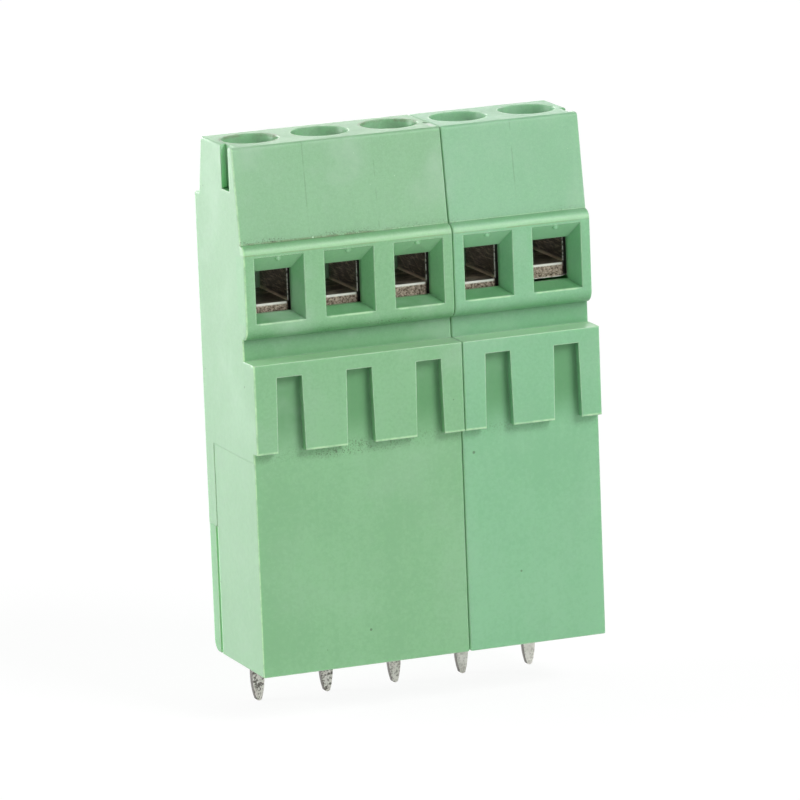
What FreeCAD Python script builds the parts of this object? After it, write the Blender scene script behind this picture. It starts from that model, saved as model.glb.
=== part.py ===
import FreeCAD, Part
import math
import os
import Sketcher

Vector = FreeCAD.Vector

# The frame: +X runs along the row of poles, +Y goes to the rear, +Z goes up from the board.
# The origin is the middle of the row of solder pins, on the board's upper face.

# Driving dimensions in millimetres: word, size, meaning
SIZES = [
    # the row of poles
    ("pitch", 5.08, "from one pole to the next"),
    ("left_poles", 3, "poles in the left housing"),
    ("right_poles", 2, "poles in the right housing"),
    ("seam_gap", 0.06, "open seam between the two housings"),
    ("pin_setback", 8.2, "lower front face to the row of pins"),
    ("rear_setback", 1.4, "row of pins to the rear face"),
    # the housing's front, from the board up
    ("riser_height", 15.66, "plain lower front, up to the comb"),
    ("comb_height", 6.2, "comb strip, up to its ledge"),
    ("comb_proud", 0.67, "comb strip ahead of the lower front"),
    ("comb_gap_rise", 5.22, "open bottom to closed top of a comb gap"),
    ("comb_gap_foot", 2.03, "width of a comb gap at its open bottom"),
    ("comb_gap_head", 1.82, "width of a comb gap at its closed top"),
    ("recess_setback", 1.28, "recessed band behind the lower front"),
    ("recess_height", 1.44, "recessed band, up to the window band"),
    ("band_setback", 0.38, "window band behind the lower front"),
    ("band_height", 6.58, "window band"),
    ("band_shoulder", 0.64, "window band ahead of the slope's foot"),
    ("slope_height", 6.52, "slope, up to the top face"),
    # the housing's rear and edges
    ("shoulder_rise", 2.45, "window band's top to the rear shoulder"),
    ("shoulder_depth", 0.9, "width of the rear shoulder"),
    ("foot_radius", 0.8, "round rear bottom edge"),
    ("top_round", 0.25, "round of the top face's long edges"),
    ("side_round", 0.12, "round of the upright outer edges"),
    # the wire entry: a funnel from the mouth to the throat
    ("mouth_rise", 1.18, "window band's foot to the mouth"),
    ("mouth_cap", 0.82, "mouth to the window band's top"),
    ("mouth_width", 3.61, "mouth"),
    ("sill_rise", 0.45, "mouth's foot to the throat's sill"),
    ("hood_drop", 1.16, "mouth's top to the throat's top"),
    ("throat_width", 2.63, "throat"),
    ("funnel_depth", 1.27, "mouth to throat"),
    ("throat_land", 0.35, "straight length of the throat"),
    ("nub_radius", 0.2, "round nub on the funnel's upper wall"),
    ("nub_setback", 0.22, "nub behind the window band"),
    # the chamber behind it
    ("riser_wall", 1.1, "front wall of the lower chamber"),
    ("ledge_floor", 1.36, "plastic between the lower chamber and the ledge"),
    ("running_gap", 0.1, "cage to chamber, each side and at the top"),
    ("sill_gap", 0.15, "cage lip to the chamber's front wall"),
    ("leg_gap", 0.1, "chamber's rear wall ahead of the contact's leg"),
    ("seat_gap", 0.05, "contact to its channel"),
    # the screw's bore
    ("head_gap", 0.1, "screw head to its bore, radial"),
    ("head_play", 0.05, "screw head to the faces above and below it"),
    ("collar_reach", 0.2, "collar inside the head's edge"),
    ("collar_height", 0.5, "collar that keeps the screw in"),
    ("bore_front_wall", 1.14, "top face ahead of the bore"),
    ("bore_rear_wall", 0.8, "top face behind the bore"),
    # the clamp cage
    ("thread_bore", 2.5, "hole in the cage's roof"),
    ("cage_rim", 0.6, "metal beside the hole"),
    ("cage_wall", 0.57, "side wall"),
    ("cage_floor", 0.96, "floor"),
    ("cage_roof", 1.6, "threaded roof"),
    ("cage_lip", 0.3, "floor ahead of the side walls"),
    ("cage_corner", 0.12, "round inner corner at the floor"),
    ("cage_edge", 0.3, "round outer corner"),
    ("cage_travel", 2.55, "open to closed"),
    ("clamp_gap", 0.05, "floor to bar when closed"),
    ("roof_gap", 0.1, "bar to roof when open"),
    # the screw
    ("thread_pitch", 0.45, "rise of the cage in one turn"),
    ("thread_gap", 0.05, "screw to the cage's hole, radial"),
    ("shank_chamfer", 0.35, "bevel of the tip"),
    ("tip_gap", 0.03, "tip to bar"),
    ("head_diameter", 3.8, "head"),
    ("head_height", 1.5, "head"),
    ("head_bevel", 0.2, "bevel of the head"),
    ("slot_width", 0.8, "driver slot"),
    ("slot_depth", 0.9, "driver slot"),
    # the contact
    ("strip_thickness", 0.5, "strip that the contact is stamped from"),
    ("bar_gap", 0.38, "bar to the cage's side walls"),
    ("bar_inset", 0.2, "bar's end behind the cage's front"),
    ("bend_radius", 0.3, "inside of the bend"),
    ("leg_width", 1.8, "leg"),
    ("barb_level", 12.0, "barb above the board"),
    ("barb_length", 0.8, "barb"),
    ("leg_foot", 1.0, "leg's shoulder above the board"),
    ("foot_taper", 0.5, "shoulder's slant"),
    ("pin_width", 0.9, "solder pin"),
    ("pin_length", 3.6, "solder pin below the board"),
    ("pin_taper", 1.7, "tapered end of the pin, with bulging sides"),
    ("pin_tip", 0.4, "width of the pin's round tip"),
    # the sides where housings join
    ("groove_ahead", 1.755, "groove ahead of the screw's axis"),
    ("groove_width", 1.45, "mouth of the groove"),
    ("groove_flare", 0.2, "extra width at the groove's bottom, each side"),
    ("groove_depth", 0.45, "groove"),
    ("groove_height", 3.06, "groove, down from the top face"),
    ("tongue_gap", 0.04, "tongue to groove"),
    ("split_height", 9.06, "upright slot at the lower rear of the left side"),
    ("split_width", 0.45, "slot"),
    ("split_depth", 0.4, "slot"),
    ("heel_width", 1.18, "heel between the slot and the rear face"),
    ("heel_drop", 0.05, "heel, set back from the side's face"),
    ("relief_height", 14.95, "relieved area of the left side, ahead of the slot"),
    ("relief_depth", 0.03, "relieved area"),
    # how far each cage stands above its lowest place, from the left
    ("lift_1", 0.19, "first cage"),
    ("lift_2", 0.27, "second cage"),
    ("lift_3", 0.43, "third cage"),
    ("lift_4", 0.1, "fourth cage"),
    ("lift_5", 0.72, "fifth cage"),
]

# Levels, places and widths that follow from the driving dimensions
PLACES = [
    ("left_edge", "-(Dims.left_poles + Dims.right_poles) * Dims.pitch / 2"),
    ("seam", "left_edge + Dims.left_poles * Dims.pitch"),
    ("front_face", "-Dims.pin_setback"),
    ("comb_front", "front_face - Dims.comb_proud"),
    ("recess_front", "front_face + Dims.recess_setback"),
    ("band_front", "front_face + Dims.band_setback"),
    ("band_round", "Dims.recess_setback - Dims.band_setback"),
    ("slope_foot", "band_front + Dims.band_shoulder"),
    ("rear_face", "Dims.rear_setback"),
    ("ledge_level", "Dims.riser_height + Dims.comb_height"),
    ("band_base", "ledge_level + Dims.recess_height"),
    ("band_top", "band_base + Dims.band_height"),
    ("body_top", "band_top + Dims.slope_height"),
    ("shoulder_level", "band_top + Dims.shoulder_rise"),
    ("shoulder_front", "rear_face - Dims.shoulder_depth"),
    ("mouth_base", "band_base + Dims.mouth_rise"),
    ("mouth_top", "band_top - Dims.mouth_cap"),
    ("throat_base", "mouth_base + Dims.sill_rise"),
    ("throat_top", "mouth_top - Dims.hood_drop"),
    ("throat_front", "band_front + Dims.funnel_depth"),
    ("chamber_front", "throat_front + Dims.throat_land"),
    ("hood_slope", "Dims.hood_drop / Dims.funnel_depth"),
    ("nub_level", "mouth_top - Dims.nub_setback * hood_slope"),
    ("leg_front", "-Dims.strip_thickness / 2"),
    ("leg_rear", "Dims.strip_thickness / 2"),
    ("pin_shoulder", "-Dims.pin_length + Dims.pin_taper"),
    ("pin_end", "-Dims.pin_length + 0.2 * Dims.pin_tip"),
    ("pin_inset", "(Dims.pin_width - Dims.pin_tip) / 2"),
    ("pin_bulge", "((pin_shoulder - pin_end)^2 + pin_inset^2) / (2 * pin_inset)"),
    ("chamber_rear", "leg_front - Dims.leg_gap"),
    ("channel_rear", "leg_rear + Dims.seat_gap"),
    ("channel_width", "Dims.leg_width + 2 * Dims.seat_gap"),
    ("riser_front", "front_face + Dims.riser_wall"),
    ("riser_top", "ledge_level - Dims.ledge_floor"),
    ("cage_width", "Dims.thread_bore + 2 * Dims.cage_rim"),
    ("cage_inside", "cage_width - 2 * Dims.cage_wall"),
    ("chamber_width", "cage_width + 2 * Dims.running_gap"),
    ("lip_front", "chamber_front + Dims.sill_gap"),
    ("tube_front", "lip_front + Dims.cage_lip"),
    ("tube_rear", "chamber_rear - Dims.running_gap"),
    ("screw_axis", "(tube_front + tube_rear) / 2"),
    ("bar_base", "throat_top"),
    ("bar_top", "bar_base + Dims.strip_thickness"),
    ("bar_width", "cage_inside - 2 * Dims.bar_gap"),
    ("bar_front", "tube_front + Dims.bar_inset"),
    ("bend_outside", "Dims.bend_radius + Dims.strip_thickness"),
    ("leg_top", "bar_top - bend_outside"),
    ("channel_top", "bar_top + Dims.seat_gap"),
    ("floor_level", "bar_base - Dims.clamp_gap - Dims.cage_travel"),
    ("cage_base", "floor_level - Dims.cage_floor"),
    ("roof_base", "bar_top + Dims.roof_gap"),
    ("roof_top", "roof_base + Dims.cage_roof"),
    ("chamber_top", "roof_top + Dims.cage_travel + Dims.running_gap"),
    ("head_base", "chamber_top + Dims.head_play"),
    ("head_top", "head_base + Dims.head_height"),
    ("collar_base", "head_top + Dims.head_play"),
    ("collar_top", "collar_base + Dims.collar_height"),
    ("screw_tip", "bar_top + Dims.tip_gap"),
    ("shank_radius", "Dims.thread_bore / 2 - Dims.thread_gap"),
    ("head_bore", "Dims.head_diameter + 2 * Dims.head_gap"),
    ("collar_bore", "Dims.head_diameter - 2 * Dims.collar_reach"),
    ("top_front", "screw_axis - head_bore / 2 - Dims.bore_front_wall"),
    ("top_rear", "screw_axis + head_bore / 2 + Dims.bore_rear_wall"),
    ("groove_axis", "screw_axis - Dims.groove_ahead"),
    ("groove_base", "body_top - Dims.groove_height"),
    ("groove_bottom", "Dims.groove_width / 2 + Dims.groove_flare"),
    ("heel_front", "rear_face - Dims.heel_width"),
    ("split_front", "heel_front - Dims.split_width"),
]

doc = FreeCAD.newDocument("ScrewTerminal")


def fill_sheet(name, rows):
    """A sheet with a word, a value and, where there is one, a meaning in each row."""
    sheet = doc.addObject("Spreadsheet::Sheet", name)
    for number, row in enumerate(rows, start=1):
        sheet.set(f"A{number}", row[0])
        sheet.set(f"B{number}", row[1])
        sheet.setAlias(f"B{number}", row[0])
        if len(row) > 2:
            sheet.set(f"C{number}", row[2])
    return sheet


dims = fill_sheet("Dims", [(word, str(size), meaning) for word, size, meaning in SIZES])
places = fill_sheet("Places", [(word, "=" + formula) for word, formula in PLACES])
doc.recompute()


def value(formula):
    """What a formula over the two sheets gives now."""
    return float(places.evalExpression(str(formula)))


def origin_part(body, role):
    """One of a body's own origin planes or axes."""
    return next(part for part in body.Origin.OriginFeatures if part.Role == role)


def new_sketch(body, name, plane, shift_along="0", shift_across="0"):
    """A sketch parallel to an origin plane, shifted along its normal and across it."""
    sketch = body.newObject("Sketcher::SketchObject", name)
    sketch.AttachmentSupport = [(origin_part(body, plane), "")]
    sketch.MapMode = "FlatFace"
    sketch.setExpression("AttachmentOffset.Base.z", shift_along)
    sketch.setExpression("AttachmentOffset.Base.x", shift_across)
    return sketch


def arc_between(start, end, radius, turn):
    """The shorter arc from start to end: turn is 1 anticlockwise and -1 clockwise."""
    chord = end - start
    middle = (start + end) * 0.5
    height = math.sqrt(max(radius**2 - (chord.Length / 2) ** 2, 0))
    side = Vector(-chord.y, chord.x, 0).normalize() * turn
    centre = middle + side * height
    circle = Part.Circle(centre, Vector(0, 0, 1), radius)
    first = math.atan2(start.y - centre.y, start.x - centre.x)
    last = math.atan2(end.y - centre.y, end.x - centre.x)
    if turn < 0:
        first, last = last, first
    return Part.ArcOfCircle(circle, first, last)


def pin_point(sketch, edge, end, across, up):
    """Tie one end of an edge to a place in the sketch."""
    for kind, formula in (("DistanceX", across), ("DistanceY", up)):
        row = sketch.addConstraint(Sketcher.Constraint(kind, edge, end, value(formula)))
        sketch.setExpression(f"Constraints[{row}]", str(formula))


def draw_outline(sketch, corners):
    """A closed outline. A corner is (across, up), or (across, up, radius, turn) before an arc."""
    count = len(corners)
    points = [Vector(value(corner[0]), value(corner[1]), 0) for corner in corners]
    first = sketch.GeometryCount
    starts = []
    for index, corner in enumerate(corners):
        start, end = points[index], points[(index + 1) % count]
        if len(corner) == 2:
            sketch.addGeometry(Part.LineSegment(start, end))
            starts.append(1)
            continue
        edge = sketch.addGeometry(arc_between(start, end, value(corner[2]), corner[3]))
        row = sketch.addConstraint(Sketcher.Constraint("Radius", edge, value(corner[2])))
        sketch.setExpression(f"Constraints[{row}]", str(corner[2]))
        starts.append(1 if corner[3] > 0 else 2)
    for index, corner in enumerate(corners):
        edge, before = first + index, first + (index - 1) % count
        end_before = 3 - starts[(index - 1) % count]
        sketch.addConstraint(Sketcher.Constraint("Coincident", before, end_before, edge, starts[index]))
        pin_point(sketch, edge, starts[index], corner[0], corner[1])


def draw_rectangle(sketch, half_width, low, high):
    """A rectangle centred across the sketch, from low to high."""
    left, right = f"-({half_width})", half_width
    draw_outline(sketch, [(left, low), (right, low), (right, high), (left, high)])


def draw_circle(sketch, diameter, across="0", up="0"):
    centre = Vector(value(across), value(up), 0)
    edge = sketch.addGeometry(Part.Circle(centre, Vector(0, 0, 1), value(diameter) / 2))
    row = sketch.addConstraint(Sketcher.Constraint("Diameter", edge, value(diameter)))
    sketch.setExpression(f"Constraints[{row}]", str(diameter))
    pin_point(sketch, edge, 3, across, up)


def volume(body):
    """The body's volume once everything is worked out."""
    doc.recompute()
    return body.Shape.Volume if body.Tip else 0.0


def add_feature(body, kind, name, before, grows):
    """Make the newest feature the body's end, and see that it adds or cuts as it should."""
    body.Tip = body.getObject(name) or body.Tip
    after = volume(body)
    changed = after - before
    if changed == 0 or (changed > 0) != grows:
        raise ValueError(f"{kind} {name} of {body.Label} changed the volume by {changed}")


def pad(body, sketch, length, reverse=False, both_ways=False):
    """Raise a sketch along its normal, the other way, or half each way."""
    before = volume(body)
    feature = body.newObject("PartDesign::Pad", sketch.Name + "_pad")
    feature.Profile = sketch
    feature.Reversed = reverse
    feature.SideType = "Symmetric" if both_ways else "One side"
    feature.setExpression("Length", length)
    add_feature(body, "pad", feature.Name, before, grows=True)
    return feature


def pocket(body, sketch, length, along_normal=False):
    """Cut a sketch's area against its normal, or along it."""
    before = volume(body)
    feature = body.newObject("PartDesign::Pocket", sketch.Name + "_pocket")
    feature.Profile = sketch
    feature.Reversed = along_normal
    feature.setExpression("Length", length)
    add_feature(body, "pocket", feature.Name, before, grows=False)
    return feature


def round_edges(body, name, radius, wanted):
    """Round each edge of the body that the test picks."""
    before = volume(body)
    base = body.Tip
    picked = [f"Edge{number}" for number, edge in enumerate(base.Shape.Edges, start=1) if wanted(edge)]
    feature = body.newObject("PartDesign::Fillet", name)
    feature.Base = (base, picked)
    feature.setExpression("Radius", radius)
    add_feature(body, "fillet", feature.Name, before, grows=False)


def near(first, second):
    return abs(first - second) < 1e-4


def runs_along_x(edge, y_place, z_place):
    """Is the edge parallel to X at this place?"""
    ends = [vertex.Point for vertex in edge.Vertexes]
    return all(near(end.y, value(y_place)) and near(end.z, value(z_place)) for end in ends)


def housing_outline(body, left, width):
    """The housing's side view, drawn on its left face and raised to its right face."""
    sketch = new_sketch(body, body.Label + "_outline", "YZ_Plane", left)
    draw_outline(
        sketch,
        [
            ("Places.front_face", "0"),
            ("Places.front_face", "Dims.riser_height"),
            ("Places.comb_front", "Dims.riser_height"),
            ("Places.comb_front", "Places.ledge_level"),
            ("Places.recess_front", "Places.ledge_level"),
            ("Places.recess_front", "Places.band_base", "Places.band_round", -1),
            ("Places.band_front", "Places.band_base + Places.band_round"),
            ("Places.band_front", "Places.band_top - Dims.band_shoulder", "Dims.band_shoulder", -1),
            ("Places.slope_foot", "Places.band_top"),
            ("Places.top_front", "Places.body_top"),
            ("Places.top_rear", "Places.body_top"),
            ("Places.shoulder_front", "Places.shoulder_level"),
            ("Places.rear_face", "Places.shoulder_level"),
            ("Places.rear_face", "Dims.foot_radius", "Dims.foot_radius", -1),
            ("Places.rear_face - Dims.foot_radius", "0"),
        ],
    )
    pad(body, sketch, width)
    round_edges(
        body,
        body.Label + "_top_round",
        "Dims.top_round",
        lambda edge: runs_along_x(edge, "Places.top_front", "Places.body_top")
        or runs_along_x(edge, "Places.top_rear", "Places.body_top"),
    )


def comb_gap(body, pole):
    """One gap of the comb strip, open below and narrower at its top."""
    sketch = new_sketch(body, body.Label + "_comb_gap", "XZ_Plane", "-Places.comb_front", pole)
    draw_outline(
        sketch,
        [
            ("-Dims.comb_gap_foot / 2", "Dims.riser_height"),
            ("Dims.comb_gap_foot / 2", "Dims.riser_height"),
            ("Dims.comb_gap_head / 2", "Dims.riser_height + Dims.comb_gap_rise"),
            ("-Dims.comb_gap_head / 2", "Dims.riser_height + Dims.comb_gap_rise"),
        ],
    )
    return pocket(body, sketch, "Dims.comb_proud")


def wire_funnel(body, pole):
    """The funnel from the mouth to the throat, and the throat's straight end."""
    mouth = new_sketch(body, body.Label + "_mouth", "XZ_Plane", "-Places.band_front", pole)
    draw_rectangle(mouth, "Dims.mouth_width / 2", "Places.mouth_base", "Places.mouth_top")
    throat = new_sketch(body, body.Label + "_throat", "XZ_Plane", "-Places.throat_front", pole)
    draw_rectangle(throat, "Dims.throat_width / 2", "Places.throat_base", "Places.throat_top")
    before = volume(body)
    funnel = body.newObject("PartDesign::SubtractiveLoft", body.Label + "_funnel")
    funnel.Profile = mouth
    funnel.Sections = [(throat, [""])]
    funnel.Ruled = True
    add_feature(body, "loft", funnel.Name, before, grows=False)
    land = pocket(body, throat, "Dims.throat_land")
    return [funnel, land]


def funnel_nub(body, pole):
    """The small round nub on the funnel's upper wall."""
    before = volume(body)
    nub = body.newObject("PartDesign::AdditiveSphere", body.Label + "_nub")
    nub.setExpression("Radius", "Dims.nub_radius")
    nub.setExpression("Placement.Base.x", pole)
    nub.setExpression("Placement.Base.y", "Places.band_front + Dims.nub_setback")
    nub.setExpression("Placement.Base.z", "Places.nub_level")
    add_feature(body, "sphere", nub.Name, before, grows=True)
    return nub


def chamber_cut(body, name, pole, width, front, rear, top):
    """A straight cut up from the board face."""
    sketch = new_sketch(body, f"{body.Label}_{name}", "XY_Plane", "0", pole)
    draw_rectangle(sketch, f"({width}) / 2", front, rear)
    return pocket(body, sketch, top, along_normal=True)


def pole_chamber(body, pole):
    """The cage's chamber, the wider room below it and the channel for the contact's leg."""
    room = "Places.chamber_width"
    return [
        chamber_cut(body, "chamber", pole, room, "Places.chamber_front", "Places.chamber_rear", "Places.chamber_top"),
        chamber_cut(body, "riser_room", pole, room, "Places.riser_front", "Places.chamber_front", "Places.riser_top"),
        chamber_cut(
            body,
            "channel",
            pole,
            "Places.channel_width",
            "Places.chamber_rear",
            "Places.channel_rear",
            "Places.channel_top",
        ),
    ]


def bore_cut(body, name, pole, diameter, low, high):
    """A round cut from low up to high on the screw's axis."""
    sketch = new_sketch(body, f"{body.Label}_{name}", "XY_Plane", low, pole)
    draw_circle(sketch, diameter, "0", "Places.screw_axis")
    return pocket(body, sketch, f"{high} - {low}", along_normal=True)


def screw_bore(body, pole):
    """The head's bore, the collar that keeps the screw in, and the driver's access hole."""
    return [
        bore_cut(body, "head_bore", pole, "Places.head_bore", "Places.chamber_top", "Places.collar_base"),
        bore_cut(body, "collar_bore", pole, "Places.collar_bore", "Places.collar_base", "Places.collar_top"),
        bore_cut(body, "access_hole", pole, "Places.head_bore", "Places.collar_top", "Places.body_top"),
    ]


def repeat_along_row(body, name, features, poles, grows):
    """Repeat the first pole's features at every pole of the housing."""
    before = volume(body)
    pattern = body.newObject("PartDesign::LinearPattern", f"{body.Label}_{name}")
    pattern.Originals = features
    pattern.Direction = (origin_part(body, "X_Axis"), [""])
    pattern.Mode = "Spacing"
    pattern.setExpression("Offset", "Dims.pitch")
    pattern.setExpression("Occurrences", poles)
    add_feature(body, "pattern", pattern.Name, before, grows)


def joint_section(sign, gap):
    """The groove's or tongue's section on a side face: sign is the way that it goes in X."""
    mouth = f"(Dims.groove_width / 2 - {gap})"
    bottom = f"(Places.groove_bottom - {gap})"
    depth = f"{sign} * (Dims.groove_depth - {gap})"
    return [
        ("0", f"Places.groove_axis - {mouth}"),
        (depth, f"Places.groove_axis - {bottom}"),
        (depth, f"Places.groove_axis + {bottom}"),
        ("0", f"Places.groove_axis + {mouth}"),
    ]


def side_groove(body, name, face, sign):
    """An undercut groove down a side face from the top: sign points into the housing."""
    sketch = new_sketch(body, f"{body.Label}_{name}", "XY_Plane", "Places.groove_base", face)
    draw_outline(sketch, joint_section(sign, "0"))
    pocket(body, sketch, "Dims.groove_height", along_normal=True)


def side_tongue(body, face):
    """The tongue on the left face that fills the neighbour's groove."""
    base = "Places.groove_base + Dims.tongue_gap"
    sketch = new_sketch(body, body.Label + "_tongue", "XY_Plane", base, face)
    draw_outline(sketch, joint_section("-1", "Dims.tongue_gap"))
    pad(body, sketch, "Dims.groove_height - 2 * Dims.tongue_gap")


def left_face_cut(body, name, front, rear, height, depth):
    """A shallow cut into the row's left face, from the board face up."""
    sketch = new_sketch(body, f"{body.Label}_{name}", "YZ_Plane", "Places.left_edge")
    draw_outline(sketch, [(front, "0"), (rear, "0"), (rear, height), (front, height)])
    pocket(body, sketch, depth, along_normal=True)


def round_sides(body, faces):
    """Round the upright and sloping edges of the side faces at the front and the rear."""
    lows = [value(face) for face in faces]

    def on_side(edge):
        ends = [vertex.Point for vertex in edge.Vertexes]
        on_face = any(all(near(end.x, low) for end in ends) for low in lows)
        rises = abs(ends[0].z - ends[-1].z) > 0.9 * value("Dims.recess_height")
        front = max(end.y for end in ends) < value("Places.top_front") + 0.01
        rear = min(end.y for end in ends) > value("Places.top_rear") - 0.01
        return on_face and rises and (front or rear)

    round_edges(body, body.Label + "_side_round", "Dims.side_round", on_side)


def build_housing(label, left, width, poles):
    """One moulded housing, with a chamber, funnel, bore and comb gap for each pole."""
    body = doc.addObject("PartDesign::Body", label)
    pole = f"{left} + Dims.pitch / 2"
    housing_outline(body, left, width)
    round_sides(body, [left, f"{left} + {width}"])
    cuts = [comb_gap(body, pole)]
    cuts += wire_funnel(body, pole)
    cuts += pole_chamber(body, pole)
    cuts += screw_bore(body, pole)
    repeat_along_row(body, "openings", cuts, poles, grows=False)
    repeat_along_row(body, "nubs", [funnel_nub(body, pole)], poles, grows=True)
    return body


def left_housing():
    """The left housing is open to a neighbour on both sides: it has a groove in each."""
    width = "Dims.left_poles * Dims.pitch - Dims.seam_gap / 2"
    body = build_housing("left_housing", "Places.left_edge", width, "Dims.left_poles")
    side_groove(body, "left_groove", "Places.left_edge", "1")
    side_groove(body, "right_groove", f"Places.left_edge + {width}", "-1")
    front, rear = "Places.front_face", "Places.rear_face"
    left_face_cut(body, "heel", "Places.heel_front", rear, "Dims.split_height", "Dims.heel_drop")
    left_face_cut(body, "split", "Places.split_front", "Places.heel_front", "Dims.split_height", "Dims.split_depth")
    left_face_cut(body, "relief", front, "Places.split_front", "Dims.relief_height", "Dims.relief_depth")
    return body


def right_housing():
    """The right housing has the tongue on its left side and a groove on its right."""
    left = "Places.seam + Dims.seam_gap / 2"
    width = "Dims.right_poles * Dims.pitch - Dims.seam_gap / 2"
    body = build_housing("right_housing", left, width, "Dims.right_poles")
    side_tongue(body, left)
    side_groove(body, "right_groove", f"{left} + {width}", "-1")
    return body


def cage_section(body):
    """The cage seen from the front: a box with round corners around a window."""
    half, inside = "Places.cage_width / 2", "Places.cage_inside / 2"
    edge, corner = "Dims.cage_edge", "Dims.cage_corner"
    low, high = "Places.cage_base", "Places.roof_top"
    floor, roof = "Places.floor_level", "Places.roof_base"
    sketch = new_sketch(body, body.Label + "_section", "XZ_Plane", "-Places.tube_front")
    draw_outline(
        sketch,
        [
            (f"-{half} + {edge}", low),
            (f"{half} - {edge}", low, edge, 1),
            (half, f"{low} + {edge}"),
            (half, f"{high} - {edge}", edge, 1),
            (f"{half} - {edge}", high),
            (f"-{half} + {edge}", high, edge, 1),
            (f"-{half}", f"{high} - {edge}"),
            (f"-{half}", f"{low} + {edge}", edge, 1),
        ],
    )
    draw_outline(
        sketch,
        [
            (f"-{inside} + {corner}", floor),
            (f"{inside} - {corner}", floor, corner, 1),
            (inside, f"{floor} + {corner}"),
            (inside, roof),
            (f"-{inside}", roof),
            (f"-{inside}", f"{floor} + {corner}", corner, 1),
        ],
    )
    return sketch


def build_cage(number, pole):
    """A clamp cage: a floor that lifts the wire, two walls and a threaded roof."""
    body = doc.addObject("PartDesign::Body", f"clamp_cage_{number}")
    pad(body, cage_section(body), "Places.tube_rear - Places.tube_front", reverse=True)
    lip = new_sketch(body, body.Label + "_lip", "XY_Plane", "Places.cage_base")
    inside, reach = "Places.cage_inside / 2", "Dims.cage_lip"
    draw_outline(
        lip,
        [
            (f"-{inside}", "Places.tube_front", reach, 1),
            (f"-{inside} + {reach}", "Places.lip_front"),
            (f"{inside} - {reach}", "Places.lip_front", reach, 1),
            (inside, "Places.tube_front"),
        ],
    )
    pad(body, lip, "Dims.cage_floor")
    hole = new_sketch(body, body.Label + "_thread", "XY_Plane", "Places.roof_top")
    draw_circle(hole, "Dims.thread_bore", "0", "Places.screw_axis")
    pocket(body, hole, "Dims.cage_roof")
    body.setExpression("Placement.Base.x", pole)
    body.setExpression("Placement.Base.z", f"Dims.lift_{number}")
    return body


def build_screw(number, pole):
    """A slotted clamp screw, turned to where its cage's height puts it."""
    body = doc.addObject("PartDesign::Body", f"clamp_screw_{number}")
    shank, head = "Places.shank_radius", "Dims.head_diameter / 2"
    bevel = "Dims.head_bevel"
    profile = new_sketch(body, body.Label + "_profile", "XZ_Plane")
    draw_outline(
        profile,
        [
            ("0", "Places.screw_tip"),
            (f"{shank} - Dims.shank_chamfer", "Places.screw_tip"),
            (shank, "Places.screw_tip + Dims.shank_chamfer"),
            (shank, "Places.head_base"),
            (head, "Places.head_base"),
            (head, f"Places.head_top - {bevel}"),
            (f"{head} - {bevel}", "Places.head_top"),
            ("0", "Places.head_top"),
        ],
    )
    before = volume(body)
    turned = body.newObject("PartDesign::Revolution", body.Label + "_turned")
    turned.Profile = profile
    turned.ReferenceAxis = (profile, ["V_Axis"])
    turned.Angle = 360
    add_feature(body, "revolution", turned.Name, before, grows=True)
    slot = new_sketch(body, body.Label + "_slot", "XY_Plane", "Places.head_top")
    draw_rectangle(slot, "Dims.head_diameter / 2 + 0.1", "-Dims.slot_width / 2", "Dims.slot_width / 2")
    pocket(body, slot, "Dims.slot_depth")
    body.setExpression("Placement.Base.x", pole)
    body.setExpression("Placement.Base.y", "Places.screw_axis")
    body.setExpression("Placement.Rotation.Angle", f"-360 * Dims.lift_{number} / Dims.thread_pitch")
    return body


def contact_bend(body):
    """The contact's bar and bend seen from the side, down to the top of the leg."""
    bend = "Dims.bend_radius"
    sketch = new_sketch(body, body.Label + "_bend", "YZ_Plane")
    draw_outline(
        sketch,
        [
            ("Places.bar_front", "Places.bar_base"),
            (f"Places.leg_front - {bend}", "Places.bar_base", bend, -1),
            ("Places.leg_front", f"Places.bar_base - {bend}"),
            ("Places.leg_rear", "Places.leg_top", "Places.bend_outside", 1),
            ("Places.leg_rear - Places.bend_outside", "Places.bar_top"),
            ("Places.bar_front", "Places.bar_top"),
        ],
    )
    return sketch


def contact_leg(body):
    """The contact's leg seen from the front, with its barbs, shoulders and solder pin."""
    leg, pin, tip = "Dims.leg_width / 2", "Dims.pin_width / 2", "Dims.pin_tip / 2"
    barb = f"({leg} + 0.8 * Dims.seat_gap)"
    bulge, rounding = "Places.pin_bulge", "0.6 * Dims.pin_tip"
    right = [
        (tip, "Places.pin_end"),
        (pin, "Places.pin_shoulder"),
        (pin, "Dims.leg_foot - Dims.foot_taper"),
        (leg, "Dims.leg_foot"),
        (leg, "Dims.barb_level - Dims.barb_length / 4"),
        (barb, "Dims.barb_level - Dims.barb_length / 4"),
        (leg, "Dims.barb_level + Dims.barb_length"),
        (leg, "Places.leg_top"),
    ]
    left = [(f"-({across})", up) for across, up in reversed(right)]
    right[0] += (bulge, 1)
    left[-2] += (bulge, 1)
    left[-1] += (rounding, 1)
    sketch = new_sketch(body, body.Label + "_leg", "XZ_Plane", "-Places.leg_front")
    draw_outline(sketch, right + left)
    return sketch


def build_contact(number, pole):
    """A stamped and bent contact: bar in the cage, leg down the rear wall, solder pin."""
    body = doc.addObject("PartDesign::Body", f"contact_pin_{number}")
    pad(body, contact_bend(body), "Places.bar_width", both_ways=True)
    pad(body, contact_leg(body), "Dims.strip_thickness", reverse=True)
    body.setExpression("Placement.Base.x", pole)
    return body


def check_document():
    """Stop if any object failed or any body isn't one sound solid."""
    doc.recompute()
    failed = [item.Label for item in doc.Objects if "Invalid" in item.State or "Error" in item.State]
    if failed:
        raise ValueError(f"these objects failed: {failed}")
    for body in doc.findObjects("PartDesign::Body"):
        if body.Shape.isNull() or not body.Shape.isValid() or len(body.Shape.Solids) != 1:
            raise ValueError(f"{body.Label} isn't one sound solid")


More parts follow.
